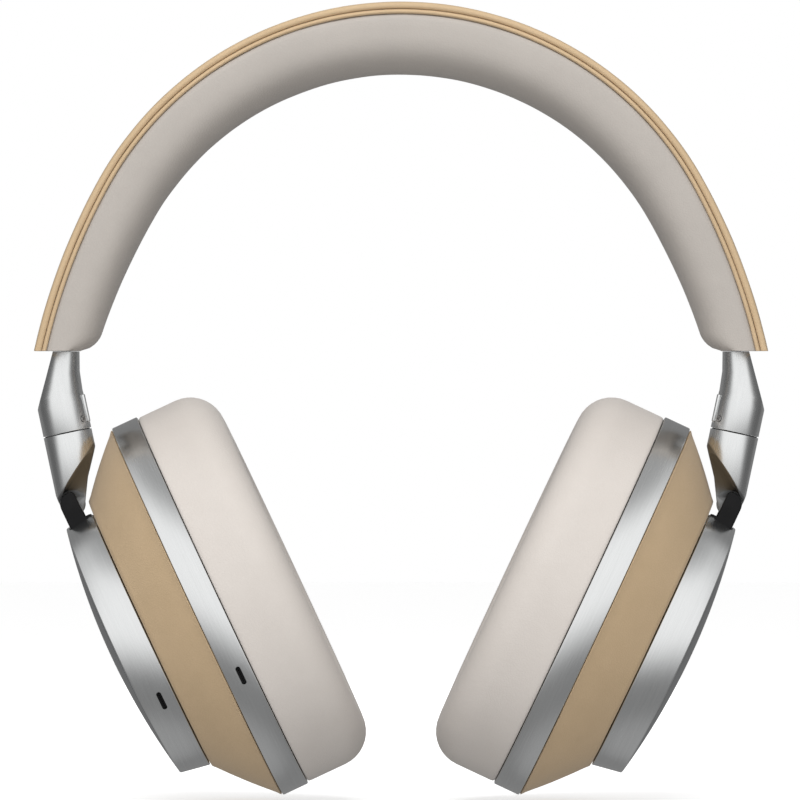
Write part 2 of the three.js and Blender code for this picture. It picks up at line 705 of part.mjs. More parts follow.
addHeadband();
const rightSide = new THREE.Group();
const leftSide = new THREE.Group();
leftSide.scale.x = -1;
headphones.add(rightSide, leftSide);
addArm(rightSide, 'right');
addArm(leftSide, 'left');
addCup(rightSide, 'right', rightControls);
addCup(leftSide, 'left', leftControls);

export default headphones;
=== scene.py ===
"""Over ear wireless headphones: leather headband and cushions on aluminium arms, yokes and ear cups."""
import math
import bmesh
import bpy
from mathutils import Matrix, Vector, noise


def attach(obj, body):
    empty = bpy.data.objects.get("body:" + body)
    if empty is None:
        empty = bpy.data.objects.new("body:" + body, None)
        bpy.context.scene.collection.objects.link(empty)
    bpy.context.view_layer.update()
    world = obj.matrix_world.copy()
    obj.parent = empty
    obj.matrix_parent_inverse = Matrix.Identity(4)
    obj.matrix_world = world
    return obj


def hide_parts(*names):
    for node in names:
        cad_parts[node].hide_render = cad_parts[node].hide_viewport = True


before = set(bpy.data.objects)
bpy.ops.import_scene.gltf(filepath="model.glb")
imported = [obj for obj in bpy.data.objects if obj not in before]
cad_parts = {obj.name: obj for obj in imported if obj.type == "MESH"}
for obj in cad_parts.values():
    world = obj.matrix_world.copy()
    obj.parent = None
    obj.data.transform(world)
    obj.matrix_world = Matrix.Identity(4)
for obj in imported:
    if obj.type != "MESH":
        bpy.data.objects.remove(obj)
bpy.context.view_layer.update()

# Sizes, in millimetres, as in the solid model -----------------------------------------------------------
MM = 0.001
MERGE = 1e-4  # points nearer than this are one
CROWN_RADIUS, SIDE_RADIUS = 86.5, 158.5  # headband's outer surface over the head and down the sides
CROWN_TURN = math.radians(61)  # from the top to where the side's curve begins
BAND_DEPTH, BAND_END_DEPTH = 18.3, 15.2  # at the crown and at the ends
BAND_FIRM = 7.0  # the depth under the outer surface that doesn't thin out
BAND_WIDTH, BAND_END_WIDTH = 17.5, 14.0  # half, front to back
BAND_DROP = 69.0  # from the origin down to the headband's level ends
COVER, PIPING, GAP = 2.1, 0.9, 0.3  # two thicknesses, and the room between pieces
CROWN_REACH = CROWN_RADIUS * CROWN_TURN
CUP_RATIO = 0.8  # an ear cup's width over its length
CUP_HALF, RING_DEPTH = 50.5, 7.0  # the inner ring's half length and depth
BODY_END, BODY_FAR = 36.25, -20.0  # the leather cone's small end: half length, and place on the cup's axis
OUTER_HALF, OUTER_NEAR = 34.9, -20.3  # the outer ring's near edge: half length, and place on the axis
OUTER_TAPER, OUTER_DROP = 1.3, 1.0  # how much it narrows, and how far its middle is below the cup's
WALL = 2.0  # of both rings
SEAM = 0.12  # between two pieces that lie against each other
CUSHION, EAR_HALF = 19.3, 31.0  # the cushion's thickness, and half its opening's length
TILT_PIN = (-2.35, -17.75)  # the pivot in the arm's frame, across and up
PIVOT = (-23.75, 37.55)  # the same pivot in the cup's frame
SCOOP_EDGE = (4.9, -4.4)  # where the slanting top of the yoke's scoops starts, in the arm's frame


def frame_at(x, z, lean):
    """A local frame in the row: X across, Z up, leaning about Y."""
    turn = Matrix.Rotation(math.radians(lean), 4, "Y")
    return Matrix.Translation((x * MM, 0, z * MM)) @ turn @ Matrix.Scale(MM, 4)


ROW = Matrix.Scale(MM, 4)
# Where the rail, the arm and the cup of the right side sit, as in the solid model.
SLIDE = frame_at(-83.644, -BAND_DROP, 18.926)
ARM = frame_at(-83.294, -89.4, -12.0)
CUP = frame_at(-44.467, -131.18, -25.1)
MIRROR = Matrix.Scale(-1, 4, (1, 0, 0))
SIDES = {"right": Matrix.Identity(4), "left": MIRROR}
side_centre = (
    (CROWN_RADIUS - SIDE_RADIUS) * math.sin(CROWN_TURN),
    BAND_DEPTH - CROWN_RADIUS + (CROWN_RADIUS - SIDE_RADIUS) * math.cos(CROWN_TURN),
)
END_TURN = math.acos((-BAND_DROP - side_centre[1]) / SIDE_RADIUS)
END_REACH = CROWN_REACH + SIDE_RADIUS * (END_TURN - CROWN_TURN)


# Shaping ------------------------------------------------------------------------------------------------
def wire(points, closed=True):
    """A wire outline from points, ready to be spun or swept."""
    bm = bmesh.new()
    verts = [bm.verts.new(p) for p in points]
    for a, b in zip(verts, verts[1:]):
        bm.edges.new((a, b))
    if closed:
        bm.edges.new((verts[-1], verts[0]))
    return bm


def mended(bm):
    """Merges what coincides and turns the faces outward."""
    bmesh.ops.remove_doubles(bm, verts=bm.verts[:], dist=MERGE)
    bmesh.ops.recalc_face_normals(bm, faces=bm.faces[:])
    return bm


def turned(profile, steps=128, closed=True):
    """A profile of (radius, place on the axis) spun round the X axis."""
    bm = wire([(s, 0, r) for r, s in profile], closed)
    bmesh.ops.spin(
        bm, geom=bm.verts[:] + bm.edges[:], cent=(0, 0, 0), axis=(1, 0, 0),
        angle=math.tau, steps=steps, use_merge=True,
    )
    return mended(bm)


def oval(bm, drop=0.0):
    """Squeezes a turned piece to the cup's oval outline."""
    bmesh.ops.scale(bm, vec=(1, CUP_RATIO, 1), verts=bm.verts[:])
    bmesh.ops.translate(bm, vec=(0, 0, -drop), verts=bm.verts[:])
    return bm


def soften(bm, width, segments=3, sharper=35):
    """Rounds the edges that turn by more than an angle."""
    sharp = [e for e in bm.edges if len(e.link_faces) == 2 and e.calc_face_angle(0) > math.radians(sharper)]
    bmesh.ops.bevel(
        bm, geom=sharp, affect="EDGES", offset=width, segments=segments, profile=0.5,
        material=-1, clamp_overlap=True,
    )
    return bm


def slab(outline, low, high, axis="Y"):
    """An outline of (x, z) points pushed through from low to high along Y, or of (y, z) points along X."""
    place = (lambda a, b: (a, low, b)) if axis == "Y" else (lambda a, b: (low, a, b))
    bm = wire([place(a, b) for a, b in outline])
    face = bmesh.ops.contextual_create(bm, geom=bm.edges[:])["faces"]
    out = bmesh.ops.extrude_face_region(bm, geom=face)["geom"]
    push = (0, high - low, 0) if axis == "Y" else (high - low, 0, 0)
    bmesh.ops.translate(bm, vec=push, verts=[v for v in out if isinstance(v, bmesh.types.BMVert)])
    return mended(bm)


def bar(radius, low, high, axis="Z", sides=48):
    """A round bar along an axis, from low to high."""
    bm = bmesh.new()
    bmesh.ops.create_cone(bm, cap_ends=True, segments=sides, radius1=radius, radius2=radius, depth=high - low)
    bmesh.ops.translate(bm, vec=(0, 0, (low + high) / 2), verts=bm.verts[:])
    turn = {"X": Matrix.Rotation(math.pi / 2, 3, "Y"), "Y": Matrix.Rotation(-math.pi / 2, 3, "X")}
    if axis in turn:
        bmesh.ops.rotate(bm, matrix=turn[axis], verts=bm.verts[:])
    return bm


def box(low, high):
    """A block between two corners."""
    bm = bmesh.new()
    bmesh.ops.create_cube(bm, size=1)
    bmesh.ops.scale(bm, vec=[b - a for a, b in zip(low, high)], verts=bm.verts[:])
    bmesh.ops.translate(bm, vec=[(a + b) / 2 for a, b in zip(low, high)], verts=bm.verts[:])
    return bm


def moved(bm, offset):
    bmesh.ops.translate(bm, vec=offset, verts=bm.verts[:])
    return bm


def capsule(length, width, low, high, round_by=0.0):
    """A slot's shape, long in Z, from low to high along X."""
    half, arc_steps = (length - width) / 2, 10
    outline = []
    for end, start in ((half, 0), (-half, math.pi)):
        for i in range(arc_steps + 1):
            a = start + math.pi * i / arc_steps
            outline.append((width / 2 * math.cos(a), end + width / 2 * math.sin(a)))
    bm = slab(outline, low, high, "X")
    return soften(bm, round_by) if round_by else bm


def loose(bm, name="tool"):
    """Puts a shape in the scene as an object."""
    mesh = bpy.data.meshes.new(name)
    bm.to_mesh(mesh)
    bm.free()
    obj = bpy.data.objects.new(name, mesh)
    bpy.context.scene.collection.objects.link(obj)
    return obj


def cut(bm, tools, how="DIFFERENCE"):
    """Takes the tools' shapes out of a shape, or joins or keeps what they share."""
    body = loose(bm)
    cutters = [loose(tool) for tool in tools]
    for cutter in cutters:
        step = body.modifiers.new("cut", "BOOLEAN")
        step.operation, step.object, step.solver = how, cutter, "EXACT"
    result = bmesh.new()
    shaped = body.evaluated_get(bpy.context.evaluated_depsgraph_get())
    result.from_mesh(shaped.to_mesh())
    shaped.to_mesh_clear()
    for obj in [body, *cutters]:
        mesh = obj.data
        bpy.data.objects.remove(obj)
        bpy.data.meshes.remove(mesh)
    bmesh.ops.dissolve_degenerate(result, dist=MERGE, edges=result.edges[:])
    return mended(result)


def finish_piece(bm, name, body, nodes, material, slot, place=ROW, side="right", crease=40):
    """Places a shape in the row, attaches it to its body and hides the CAD nodes that it stands for."""
    local = bm.verts.layers.float_vector.new("own_place")
    for v in bm.verts:
        v[local] = v.co
    bmesh.ops.transform(bm, matrix=SIDES[side] @ place, verts=bm.verts[:])
    bmesh.ops.recalc_face_normals(bm, faces=bm.faces[:])
    obj = loose(bm, name)
    obj.data.name = name
    obj.data.shade_smooth()
    obj.data.set_sharp_from_angle(angle=math.radians(crease))
    obj.data.materials.append(material)
    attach(obj, body)
    if nodes:
        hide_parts(*nodes)
    return obj


# Finishes -----------------------------------------------------------------------------------------------
class Value:
    """A number that a node gives out. Sums on it add the Math nodes."""

    def __init__(self, socket):
        self.socket = socket

    def _math(self, operation, *terms):
        tree = self.socket.id_data
        node = tree.nodes.new("ShaderNodeMath")
        node.operation = operation
        for port, term in zip(node.inputs, terms):
            if isinstance(term, Value):
                tree.links.new(term.socket, port)
            else:
                port.default_value = term
        return Value(node.outputs[0])

    def __add__(self, other):
        return self._math("ADD", self, other)

    def __sub__(self, other):
        return self._math("SUBTRACT", self, other)

    def __rsub__(self, other):
        return self._math("SUBTRACT", other, self)

    def __mul__(self, other):
        return self._math("MULTIPLY", self, other)

    def __truediv__(self, other):
        return self._math("DIVIDE", self, other)

    def __pow__(self, other):
        return self._math("POWER", self, other)

    __radd__ = __add__

    def sine(self):
        return self._math("SINE", self)

    def size(self):
        return self._math("ABSOLUTE", self)

    def step(self, low, high):
        """0 below low, 1 above high, smooth between."""
        node = self.socket.id_data.nodes.new("ShaderNodeMapRange")
        node.interpolation_type = "SMOOTHSTEP"
        self.socket.id_data.links.new(self.socket, node.inputs["Value"])
        node.inputs["From Min"].default_value = low
        node.inputs["From Max"].default_value = high
        return Value(node.outputs["Result"])


SOCKETS = {"specular": "Specular IOR Level"}  # the one socket whose name isn't its keyword
ROW_UNIT = 1000.0  # turns a scale per millimetre into one for a place in the row, which is in metres


def shaded(color, share):
    """A colour made darker or lighter by a share."""
    return tuple(c * share for c in color[:3]) + (1,)


class Finish:
    """One material and the nodes that make it."""

    def __init__(self, name, **flat):
        self.material = bpy.data.materials.new(name)
        self.material.use_nodes = True
        self.tree = self.material.node_tree
        self.shader = self.tree.nodes["Principled BSDF"]
        self.give(**flat)

    def node(self, kind, settings=None, **sockets):
        """Adds a node: its settings first, then the values or links of its sockets."""
        made = self.tree.nodes.new("ShaderNode" + kind)
        for key, value in (settings or {}).items():
            setattr(made, key, value)
        for key, value in sockets.items():
            self.join(made.inputs[int(key[1:])] if key[0] == "_" else made.inputs[key], value)
        return made

    def join(self, port, value):
        """Links an output to a socket, or sets the socket to a constant."""
        if isinstance(value, Value):
            value = value.socket
        if isinstance(value, bpy.types.NodeSocket):
            self.tree.links.new(value, port)
        else:
            port.default_value = value

    def place(self, own=True):
        """The point being shaded, in the piece's own frame in millimetres, or in the row in metres."""
        if own:
            return self.node("Attribute", {"attribute_name": "own_place"}).outputs["Vector"]
        return self.node("TexCoord").outputs["Object"]

    def stretched(self, place, scale):
        return self.node("Mapping", None, Vector=place, Scale=scale).outputs["Vector"]

    def noise(self, place, scale, detail=3.0, roughness=0.5):
        made = self.node("TexNoise", None, Vector=place, Scale=scale, Detail=detail, Roughness=roughness)
        return Value(made.outputs["Fac"])

    def creases(self, place, scale):
        """How far the point is from the line between two cells."""
        made = self.node("TexVoronoi", {"feature": "DISTANCE_TO_EDGE"}, Vector=place, Scale=scale)
        return Value(made.outputs["Distance"])

    def parts(self, vector):
        split = self.node("SeparateXYZ", None, Vector=vector)
        return [Value(split.outputs[axis]) for axis in "XYZ"]

    def mix(self, amount, first, second):
        made = self.node("Mix", {"data_type": "RGBA"}, Factor=amount)
        self.join(made.inputs[6], first)
        self.join(made.inputs[7], second)
        return made.outputs[2]

    def bump(self, height, depth):
        """A bump of so many millimetres."""
        return self.node("Bump", None, Height=height, Distance=depth * MM, Strength=1.0).outputs["Normal"]

    def give(self, **sockets):
        for socket, value in sockets.items():
            self.join(self.shader.inputs[SOCKETS.get(socket, socket.replace("_", " ").title())], value)
        return self.material


def leather(name, light, dark, grain, roughness, depth):
    """Smooth fine-grained leather: small cells between creases, cloudy colour, duller in the creases."""
    f = Finish(name, specular=0.32, sheen_weight=0.12, sheen_roughness=0.5)
    place = f.place()
    warped = f.node(
        "VectorMath", {"operation": "MULTIPLY_ADD"},
        _0=f.node("TexNoise", None, Vector=place, Scale=0.5, Detail=2.0).outputs["Color"],
        _1=(0.9, 0.9, 0.9), _2=place,
    ).outputs["Vector"]
    pebble = f.creases(warped, grain).step(0.0, 0.22)
    pores = f.noise(place, 3.1 * grain, 2.0)
    clouds = f.noise(place, 0.045, 4.0, 0.6)
    wrinkles = f.noise(f.stretched(place, (1, 0.55, 1)), 0.22, 3.0, 0.55)
    tone = (clouds * 0.7 + wrinkles * 0.3).step(0.3, 0.7) * 0.75 + pebble * 0.25
    height = pebble * 0.6 + pores * 0.25 + wrinkles * 1.6
    return f.give(
        base_color=f.mix(tone, dark, light),
        roughness=roughness + (1 - pebble) * 0.12 + (clouds - 0.5) * 0.14,
        normal=f.bump(height, depth),
    )


def brushed_metal(name, tint, roughness, stroke, own=True, depth=0.006):
    """Aluminium with fine strokes along the axes whose stroke scale is small."""
    f = Finish(name, metallic=1.0, specular=0.5)
    place = f.place(own)
    strokes = f.noise(f.stretched(place, stroke), 1.0, 4.0, 0.7)
    broad = f.noise(f.stretched(place, tuple(s * 0.22 for s in stroke)), 1.0, 2.0)
    clouds = f.noise(place, 0.05 if own else 0.05 * ROW_UNIT, 3.0)
    shade = (strokes * 0.7 + broad * 0.3).step(0.25, 0.75)
    return f.give(
        base_color=f.mix(shade, shaded(tint, 0.9), tint),
        roughness=roughness + (strokes - 0.5) * 0.14 + (clouds - 0.5) * 0.08,
        normal=f.bump(strokes, depth),
    )


def yoke_metal_with_painted_shade(name, tint, roughness):
    """The arm's aluminium, blasted in the scoops under the slanting line and darkened there as painted shade,
    which stands for the shade and dark reflections in the scoops.
    """
    f = Finish(name, metallic=1.0, specular=0.5)
    place = f.place()
    x, _, z = f.parts(place)
    # the scoops under the slanting line: this mask carries the painted shade as well as the blasting
    inside = (x - z - (SCOOP_EDGE[0] - SCOOP_EDGE[1])).step(0.0, 0.8)
    strokes = f.noise(f.stretched(place, (5.0, 5.0, 0.1)), 1.0, 4.0, 0.7)
    blast = f.noise(place, 6.0, 3.0, 0.6)
    bright = f.mix(strokes.step(0.25, 0.75), shaded(tint, 0.9), tint)
    # painted shade: the scoops' colour is 0.3 to 0.42 of the tint, for the shade and dark reflections in them
    dark = f.mix(blast, shaded(tint, 0.3), shaded(tint, 0.42))
    return f.give(
        base_color=f.mix(inside, bright, dark),
        roughness=roughness + (strokes - 0.5) * 0.14 + inside * 0.1,
        normal=f.bump(strokes + blast * inside, 0.003),
    )


def spun_metal(name, tint, roughness, pitch):
    """Metal turned on a lathe: fine rings round the cup's axis."""
    f = Finish(name, metallic=1.0)
    place = f.place()
    _, y, z = f.parts(place)
    y = y / CUP_RATIO
    z = z + OUTER_DROP
    radius = (y * y + z * z) ** 0.5
    rings = (radius * (math.tau / pitch)).sine() * 0.5 + 0.5
    outward = f.node("CombineXYZ", None, X=radius * 6.0, Y=0.0, Z=0.0).outputs["Vector"]
    fine = f.noise(outward, 1.0, 4.0, 0.7)
    worn = f.noise(place, 0.12, 3.0)
    return f.give(
        base_color=f.mix(rings * 0.6 + fine * 0.4, shaded(tint, 0.72), tint),
        roughness=roughness + fine * 0.12 + (worn - 0.5) * 0.08,
        normal=f.bump(rings * 0.8 + fine * 0.3, 0.05),
    )


def moulded(name, color, roughness, own=True):
    """Moulded plastic with a fine spark-eroded skin."""
    f = Finish(name, specular=0.2)
    place = f.place(own)
    unit = 1.0 if own else ROW_UNIT
    spark = f.noise(place, 4.05 * unit, 3.0, 0.6)
    clouds = f.noise(place, 0.1 * unit, 3.0)
    lighter = tuple(min(1.0, c * 1.5 + 0.004) for c in color[:3]) + (1,)
    return f.give(
        base_color=f.mix(clouds.step(0.35, 0.75) * 0.7 + spark * 0.3, color, lighter),
        roughness=roughness + (spark - 0.5) * 0.2,
        normal=f.bump(spark, 0.012),
    )


def woven(name, color, pitch):
    """Open speaker cloth: threads over and under across the cup's face."""
    f = Finish(name, roughness=0.85, specular=0.2, sheen_weight=0.2)
    _, y, z = f.parts(f.place())
    across = (y * (math.pi / pitch)).sine()
    along = (z * (math.pi / pitch)).sine()
    weave = (across * along * 0.5 + 0.5).step(0.2, 0.8)
    return f.give(base_color=f.mix(weave, shaded(color, 0.3), color), normal=f.bump(weave, 0.1))


TAN = leather("tan leather", (0.58, 0.428, 0.265, 1), (0.53, 0.389, 0.236, 1), 1.5, 0.5, 0.03)
PALE = leather("pale cushion leather", (0.615, 0.57, 0.53, 1), (0.585, 0.54, 0.5, 1), 1.35, 0.52, 0.03)
MAUVE = leather("grey mauve band leather", (0.455, 0.42, 0.385, 1), (0.425, 0.392, 0.36, 1), 1.35, 0.52, 0.03)
RING_METAL = brushed_metal("satin ring aluminium", (0.80, 0.81, 0.81, 1), 0.24, (9.0, 0.12, 0.12))
ARM_METAL = brushed_metal("satin arm aluminium", (0.82, 0.83, 0.83, 1), 0.27, (5.0, 5.0, 0.1), depth=0.003)
# the yoke's aluminium, with painted shade in its scoops
YOKE_METAL_WITH_PAINTED_SHADE = yoke_metal_with_painted_shade("satin yoke aluminium with painted scoop shade", (0.82, 0.83, 0.83, 1), 0.27)
PLATE_METAL = spun_metal("spun plate aluminium", (0.5, 0.51, 0.52, 1), 0.3, 0.9)
STEEL = brushed_metal("brushed spring steel", (0.6, 0.61, 0.62, 1), 0.28, (4000.0, 4000.0, 400.0), own=False)
RAIL_STEEL = brushed_metal("brushed rail steel", (0.6, 0.61, 0.62, 1), 0.26, (4.0, 4.0, 0.3))
PIN_STEEL = brushed_metal("turned pin steel", (0.66, 0.66, 0.66, 1), 0.22, (6.0, 1.0, 1.0))
BLACK = moulded("black hinge nylon", (0.005, 0.005, 0.0055, 1), 0.6)
GREY = moulded("grey moulded nylon", (0.10, 0.10, 0.105, 1), 0.55, own=False)
BLACK_ROW = moulded("black moulded nylon", (0.015, 0.015, 0.016, 1), 0.5, own=False)
BOARD = moulded("green board varnish", (0.02, 0.09, 0.045, 1), 0.35, own=False)
CLOTH = woven("speaker cloth", (0.10, 0.095, 0.09, 1), 0.55)
DARK_CLOTH = moulded("pressed paper cone", (0.03, 0.03, 0.03, 1), 0.8, own=False)


# Headband -----------------------------------------------------------------------------------------------
def on_band(reach, depth):
    """The row's X and Z of a point so far along the headband's outer surface, and so deep under it."""
    if reach > CROWN_REACH:
        turn, radius = CROWN_TURN + (reach - CROWN_REACH) / SIDE_RADIUS, SIDE_RADIUS - depth
        x, z = side_centre
    else:
        turn, radius = reach / CROWN_RADIUS, CROWN_RADIUS - depth
        x, z = 0.0, BAND_DEPTH - CROWN_RADIUS
    return x + radius * math.sin(turn), z + radius * math.cos(turn)


def on_band_depth(point):
    """How deep a point of the row lies under the headband's outer surface."""
    x, z = abs(point.x), point.z
    crown = Vector((x, z - (BAND_DEPTH - CROWN_RADIUS)))
    if math.atan2(crown.x, crown.y) <= CROWN_TURN:
        return CROWN_RADIUS - crown.length
    return SIDE_RADIUS - Vector((x - side_centre[0], z - side_centre[1])).length


def thinned(reach, across, depth):
    """A section's point, drawn in as the headband thins towards its ends."""
    share = min(1.0, reach / END_REACH) ** 2
    narrow = 1 + (BAND_END_WIDTH / BAND_WIDTH - 1) * share
    left = (BAND_END_DEPTH - BAND_FIRM) / (BAND_DEPTH - BAND_FIRM)
    soft = max(0.0, depth - BAND_FIRM) * (1 + (left - 1) * share)
    return across * narrow, min(depth, BAND_FIRM) + soft


def swept(section, steps=140, shape=None):
    """A section of (across, depth) swept along the headband, cut level at both ends."""
    bm = wire([(0, y, d) for y, d in section])
    reach = END_REACH + 7  # past the level end, which is then cut
    bmesh.ops.spin(
        bm, geom=bm.verts[:] + bm.edges[:], cent=(0, 0, 0), axis=(1, 0, 0),
        dvec=(reach / steps, 0, 0), angle=0, steps=steps,
    )
    for v in bm.verts:
        reach = v.co.x
        across, depth = thinned(reach, v.co.y, v.co.z)
        x, z = on_band(reach, depth)
        v.co = (shape(reach, depth, x, z) if shape else x, across, z)
    bmesh.ops.bisect_plane(
        bm, geom=bm.verts[:] + bm.edges[:] + bm.faces[:], dist=MERGE,
        plane_co=(0, 0, -BAND_DROP), plane_no=(0, 0, -1), clear_outer=True,
    )
    bmesh.ops.mirror(bm, geom=bm.verts[:] + bm.edges[:] + bm.faces[:], axis="X", merge_dist=MERGE)
    bmesh.ops.holes_fill(bm, edges=[e for e in bm.edges if e.is_boundary])
    return mended(bm)


def arc(y, d, radius, start, end, steps=6):
    """Points of a round in a section, from one angle to another."""
    return [
        (y + radius * math.cos(a), d + radius * math.sin(a))
        for a in (math.radians(start + (end - start) * i / steps) for i in range(steps + 1))
    ]


def cover_section():
    """A leather strip over a firm core: a low crown and rolled edges."""
    roll = COVER / 2
    y = BAND_WIDTH - roll
    crown = [(y * t, 0.2 + 0.35 * t * t) for t in (0.94 - 0.094 * i for i in range(21))]
    low = COVER + 0.22  # a little into the gap, so that the seam is narrow
    right = arc(y, roll + 0.38, roll * 0.84, 90, -60)
    left = [(-a, b) for a, b in reversed(right)]
    return right + crown + left + [(-y * 0.9, low), (0, low), (y * 0.9, low)]


def pad_section():
    """The pad: tucked under the piping, full at its sides and crowned below."""
    w, full = BAND_WIDTH - 0.1, BAND_DEPTH - BAND_FIRM
    top = COVER + GAP
    tuck = top + PIPING + 0.25
    below = []
    for i in range(41):
        a = math.pi * i / 40
        across = math.copysign(abs(math.cos(a)) ** 0.75, math.cos(a))
        below.append((w * across, BAND_FIRM + full * math.sin(a) ** 0.8))
    shoulder = [
        (w - 2.4, top), (w - 2.2, tuck - 0.2), (w - 1.0, tuck), (w - 0.3, tuck + 0.5), (w, tuck + 1.5),
    ]
    other = [(-y, d) for y, d in reversed(shoulder)]
    return shoulder + below + other + [(y, top) for y in range(-12, 13, 3)]


def rounded_end(reach, depth, x, z):
    """Rounds the corner between the pad's underside and its level end."""
    corner, height = 4.4, max(0.0, z + BAND_DROP)  # the round's radius, and the height over the end
    if depth <= BAND_FIRM or height >= corner:
        return x
    full = thinned(min(reach, END_REACH), 0, BAND_DEPTH)[1]
    inset = corner - math.sqrt(corner ** 2 - (corner - height) ** 2)
    return x + inset * (depth - BAND_FIRM) / (full - BAND_FIRM)


def soften_leather(bm, amount, spread, seed, firm=None):
    """Moves a soft skin in and out by about an amount, over about a spread, as padding under leather does."""
    bm.normal_update()
    shift = Vector((seed, 2 * seed, 0))
    moves = []
    for v in bm.verts:
        wave = noise.noise(v.co / spread + shift) + 0.4 * noise.noise(v.co / (0.4 * spread) + shift)
        hold = firm(v.co) if firm else 1.0
        moves.append(v.normal * wave * amount * hold)
    for v, move in zip(bm.verts, moves):
        v.co += move
    return bm


CLOTH_FRAMES = 20


def filled(obj, held, pressure, most, smooth=3):
    """Lets the leather fill out over its padding: a short cloth simulation, held where held(point) is true.

    No point moves further than most, and each move is then averaged with its neighbours' smooth times.
    """
    mesh, scene = obj.data, bpy.context.scene
    rest = [v.co.copy() for v in mesh.vertices]
    seam = obj.vertex_groups.new(name="seam")
    seam.add([v.index for v in mesh.vertices if held(v.co / MM)], 1.0, "REPLACE")
    cloth = obj.modifiers.new("filling", "CLOTH")
    rules = cloth.settings
    rules.quality, rules.mass = 6, 0.25
    rules.tension_stiffness = rules.compression_stiffness = 12
    rules.shear_stiffness, rules.bending_stiffness = 4, 0.6
    rules.vertex_group_mass = "seam"
    rules.use_pressure, rules.uniform_pressure_force = True, pressure
    rules.effector_weights.gravity = 0
    cloth.collision_settings.use_collision = False
    for i in range(1, CLOTH_FRAMES + 1):
        scene.frame_set(i)
    shaped = obj.evaluated_get(bpy.context.evaluated_depsgraph_get())
    settled = [v.co.copy() for v in shaped.data.vertices]
    obj.modifiers.remove(cloth)
    obj.vertex_groups.remove(seam)
    moves = [new - old for old, new in zip(rest, settled)]
    moves = [move * min(1.0, most * MM / max(move.length, 1e-9)) for move in moves]
    for _ in range(smooth):
        sums, counts = [move.copy() for move in moves], [1] * len(moves)
        for edge in mesh.edges:
            a, b = edge.vertices
            sums[a] += moves[b]
            sums[b] += moves[a]
            counts[a] += 1
            counts[b] += 1
        moves = [total / count for total, count in zip(sums, counts)]
    for v, old, move in zip(mesh.vertices, rest, moves):
        v.co = old + move
    scene.frame_set(1)


def guide_room():
    """The space that the two slide guides take in the pad, in the row in millimetres."""
    rooms = []
    thick, wide, high = (size + GAP for size in (2.5, 7.3, 41.5))
    for side in SIDES.values():
        room = box((-thick, -wide, -9), (thick, wide, high))
        bmesh.ops.transform(room, matrix=ROW.inverted() @ side @ SLIDE, verts=room.verts[:])
        rooms.append(mended(room))
    return rooms


def make_headband():
    """The cover, its two pipings and the pad."""
    cover = soften_leather(swept(cover_section()), amount=0.03, spread=9, seed=3)
    finish_piece(
        cover, "headband_leather_cover", "headband", ["headband_cover"], TAN, "tan_leather", crease=60,
    )
    half_wide, half_high = 0.85, 0.57
    middle = COVER + GAP + PIPING / 2 + 0.1
    for face, sign in (("front", -1), ("rear", 1)):
        oval_round = [
            (sign * (BAND_WIDTH - 0.95) + half_wide * math.cos(a), middle + half_high * math.sin(a))
            for a in (math.tau * i / 14 for i in range(14))
        ]
        finish_piece(
            swept(oval_round), f"headband_{face}_piping", "headband", [f"headband_piping_{face}"], TAN,
            "tan_leather", crease=60,
        )
    pad = swept(pad_section(), steps=150, shape=rounded_end)
    end = 4.0  # the height over the level end where the leather is held
    soften_leather(
        pad, amount=0.07, spread=15, seed=7,
        firm=lambda p: min(1.0, max(0.0, (p.z + BAND_DROP) / end)),
    )
    made = finish_piece(
        cut(pad, guide_room()), "headband_leather_pad", "headband", ["headband_pad"], MAUVE, "pale_leather",
        crease=50,
    )
    filled(
        made, lambda p: abs(on_band_depth(p)) < BAND_FIRM or p.z < end - BAND_DROP,
        pressure=3.0, most=0.4, smooth=25,
    )


# Ear cups -----------------------------------------------------------------------------------------------
def on_rim(bm, angle, depth, half=CUP_HALF, drop=0.0):
    """Puts a shape on a cup's oval wall, an angle round from the bottom: +X out of the wall, +Z along it."""
    a = math.radians(angle)
    spot = Vector((depth, CUP_RATIO * half * math.sin(a), -half * math.cos(a) - drop))
    out = Vector((0, math.sin(a) / CUP_RATIO, -math.cos(a))).normalized()
    inward = Vector((-1, 0, 0))
    turn = Matrix((out, inward, out.cross(inward))).transposed().to_4x4()
    bmesh.ops.transform(bm, matrix=Matrix.Translation(spot) @ turn, verts=bm.verts[:])
    return bm


BUTTON_DEPTH, BUTTON_PITCH = -4.4, 13.5
BUTTON, BUTTON_ROOM, BUTTON_FLANGE = (9.0, 3.4), (9.6, 4.0), (10.2, 4.4)  # length and width
PORT, PORT_INSIDE, PORT_ROOM, PORT_ANGLE = (9.4, 3.6), (8.6, 2.8), (10.0, 4.2), 38
BRACKET_HALF, EAR_RADIUS, EAR_GAP = 5.6, 3.1, 2.8  # half the hinge block, its ears, half what is between
MIC_SLOT, MIC_PLATE = (5.0, 1.25), (4.8, 1.1)
MIC_HOLE, MIC_PITCH = 0.2, 0.62  # a hole's radius, and from one to the next
MIC_IN = (-68.5, -3.2, CUP_HALF, 0.0)  # angle, depth, and the rim's half length and drop
MIC_OUT = (-64, -23.9, 34.25, OUTER_DROP)
DOME = (-31.2, 340.0)  # the end plate's middle on the cup's axis, and twice the dome's radius
RING_LIP, PLATE_SEAT = 1.0, 1.3  # the outer ring's lip round the end plate, and how deep it goes
SCREW_RADIUS, SCREW_RECESS = 1.5, 2.3  # the bracket screw's hole, and the recess for its head


def button_angle(i):
    """A button's angle round the cup: the middle one is straight behind."""
    return 90 + math.degrees(i * BUTTON_PITCH / (CUP_RATIO * CUP_HALF * 1.22))


def domed(bm, share=lambda x: 1.0):
    """Bends flat ends back to the end plate's dome."""
    for v in bm.verts:
        v.co.x += share(v.co.x) * (v.co.y ** 2 + (v.co.z + OUTER_DROP) ** 2) / DOME[1]
    return bm


